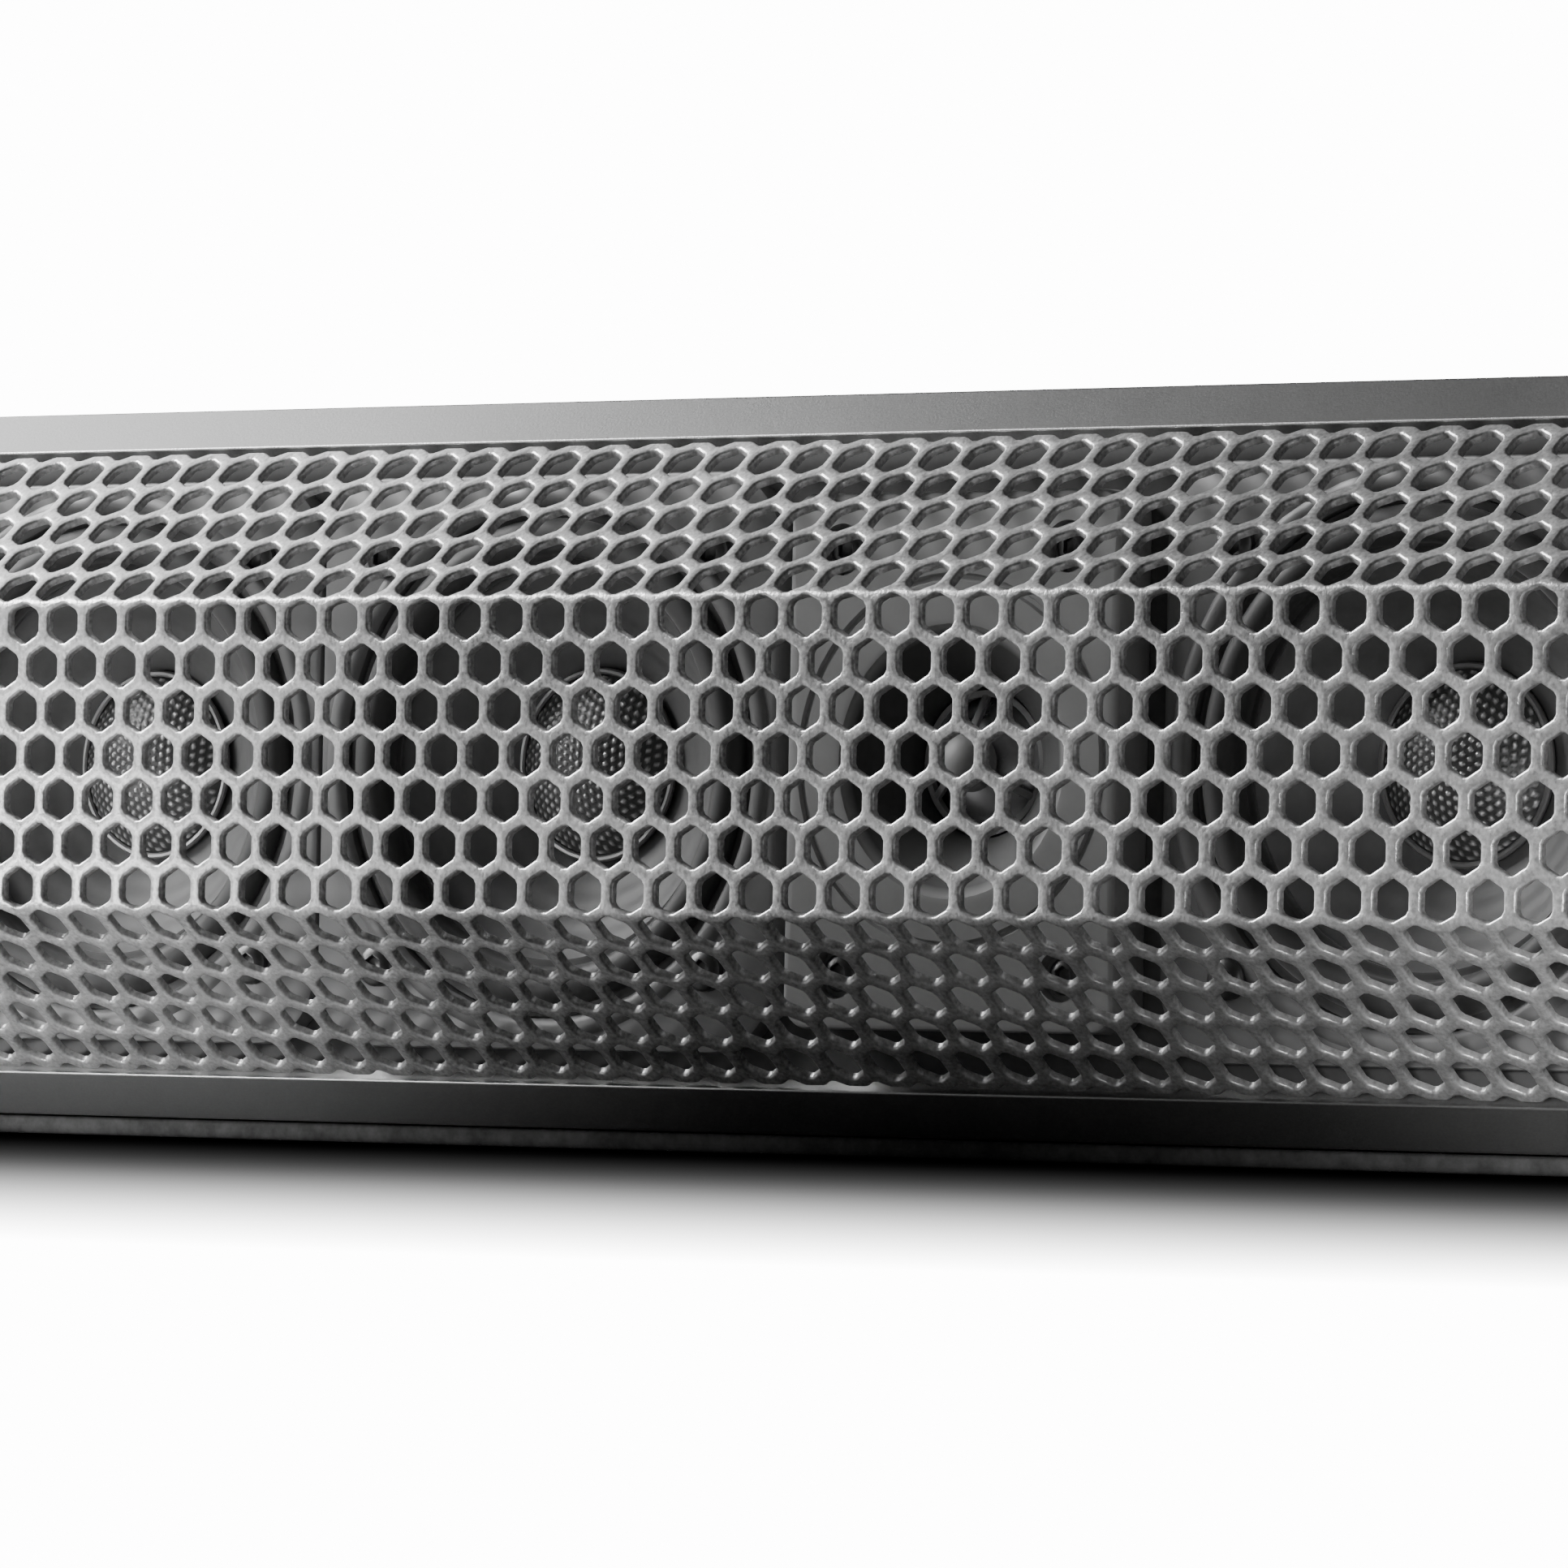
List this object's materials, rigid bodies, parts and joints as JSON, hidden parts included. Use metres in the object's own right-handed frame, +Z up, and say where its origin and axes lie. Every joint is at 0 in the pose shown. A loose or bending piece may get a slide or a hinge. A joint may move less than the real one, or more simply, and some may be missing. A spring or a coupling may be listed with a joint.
{
  "type": "soundbar",
  "caption": "Long soundbar with a folded perforated metal grille over a row of woofers and a central tweeter, in a channel housing with end caps and a rear connector panel.",
  "frame": {"origin": "bottom centre of the bounding box, on the surface that the feet stand on", "axes": "+X along the bar, -Y out of the grille, +Y towards the connectors, +Z up"},
  "size_m": [0.6, 0.095, 0.1102],
  "materials": {
    "grille": "satin",
    "housing": "satin anodised",
    "end_cap": "satin",
    "baffle": "matt",
    "basket": "satin",
    "surround": "matt",
    "cone": "matt",
    "dust_dome": "perforated",
    "motor": "plated",
    "tweeter_plate": "satin",
    "tweeter_dome": "satin",
    "phase_plug": "satin",
    "divider": "raw fibreboard",
    "harness": "matt sleeve",
    "board": "lacquered",
    "transformer": "taped",
    "capacitor": "sleeve",
    "heat_sink": "black anodised",
    "rear_panel": "fine texture",
    "socket": "moulded",
    "rocker": "polished",
    "key": "satin",
    "foot": "matt"
  },
  "bodies": {
    "enclosure": {"amplifier_board": "board", "baffle": "baffle", "basket_1": "basket", "basket_2": "basket", "basket_3": "basket", "basket_4": "basket", "basket_5": "basket", "basket_6": "basket", "control_board": "board", "digital_input": "socket", "divider_left": "divider", "divider_right": "divider", "end_cap_left": "end_cap", "end_cap_right": "end_cap", "filter_capacitor": "capacitor", "foot_back": "foot", "foot_front": "foot", "grille": "grille", "heat_sink": "heat_sink", "housing": "housing", "line_input": "socket", "mains_inlet": "socket", "phase_plug": "phase_plug", "power_board": "board", "rear_panel": "rear_panel", "speaker_harness": "harness", "surround_1": "surround", "surround_2": "surround", "surround_3": "surround", "surround_4": "surround", "surround_5": "surround", "surround_6": "surround", "transformer": "transformer", "tweeter_motor": "motor", "tweeter_plate": "tweeter_plate", "woofer_motor_1": "motor", "woofer_motor_2": "motor", "woofer_motor_3": "motor", "woofer_motor_4": "motor", "woofer_motor_5": "motor", "woofer_motor_6": "motor"},
    "woofer_1_cone": {"cone_1": "cone", "dust_dome_1": "dust_dome"},
    "woofer_2_cone": {"cone_2": "cone", "dust_dome_2": "dust_dome"},
    "woofer_3_cone": {"cone_3": "cone", "dust_dome_3": "dust_dome"},
    "woofer_4_cone": {"cone_4": "cone", "dust_dome_4": "dust_dome"},
    "woofer_5_cone": {"cone_5": "cone", "dust_dome_5": "dust_dome"},
    "woofer_6_cone": {"cone_6": "cone", "dust_dome_6": "dust_dome"},
    "tweeter_diaphragm": {"tweeter_dome": "tweeter_dome"},
    "key_1_body": {"key_1": "key"},
    "key_2_body": {"key_2": "key"},
    "key_3_body": {"key_3": "key"},
    "rocker": {"rocker_switch": "rocker"}
  },
  "joints": [
    {"name": "woofer_1_travel", "type": "slide", "parent": "enclosure", "child": "woofer_1_cone", "axis": [0, 1, 0], "range_m": [-0.003, 0.003], "stiffness_N_per_m": 1500, "deforming": ["surround_1"]},
    {"name": "woofer_2_travel", "type": "slide", "parent": "enclosure", "child": "woofer_2_cone", "axis": [0, 1, 0], "range_m": [-0.003, 0.003], "stiffness_N_per_m": 1500, "deforming": ["surround_2"]},
    {"name": "woofer_3_travel", "type": "slide", "parent": "enclosure", "child": "woofer_3_cone", "axis": [0, 1, 0], "range_m": [-0.003, 0.003], "stiffness_N_per_m": 1500, "deforming": ["surround_3"]},
    {"name": "woofer_4_travel", "type": "slide", "parent": "enclosure", "child": "woofer_4_cone", "axis": [0, 1, 0], "range_m": [-0.003, 0.003], "stiffness_N_per_m": 1500, "deforming": ["surround_4"]},
    {"name": "woofer_5_travel", "type": "slide", "parent": "enclosure", "child": "woofer_5_cone", "axis": [0, 1, 0], "range_m": [-0.003, 0.003], "stiffness_N_per_m": 1500, "deforming": ["surround_5"]},
    {"name": "woofer_6_travel", "type": "slide", "parent": "enclosure", "child": "woofer_6_cone", "axis": [0, 1, 0], "range_m": [-0.003, 0.003], "stiffness_N_per_m": 1500, "deforming": ["surround_6"]},
    {"name": "tweeter_travel", "type": "slide", "parent": "enclosure", "child": "tweeter_diaphragm", "axis": [0, 1, 0], "range_m": [-0.0003, 0.0003], "stiffness_N_per_m": 1000},
    {"name": "key_1_press", "type": "slide", "parent": "enclosure", "child": "key_1_body", "axis": [0, 0, -1], "range_m": [0, 0.001], "stiffness_N_per_m": 400},
    {"name": "key_2_press", "type": "slide", "parent": "enclosure", "child": "key_2_body", "axis": [0, 0, -1], "range_m": [0, 0.001], "stiffness_N_per_m": 400},
    {"name": "key_3_press", "type": "slide", "parent": "enclosure", "child": "key_3_body", "axis": [0, 0, -1], "range_m": [0, 0.001], "stiffness_N_per_m": 400},
    {"name": "rocker_tilt", "type": "hinge", "parent": "enclosure", "child": "rocker", "pos_m": [0.014, 0.0427, 0.0562], "axis": [0, 0, 1], "range_deg": [-16, 0]}
  ]
}
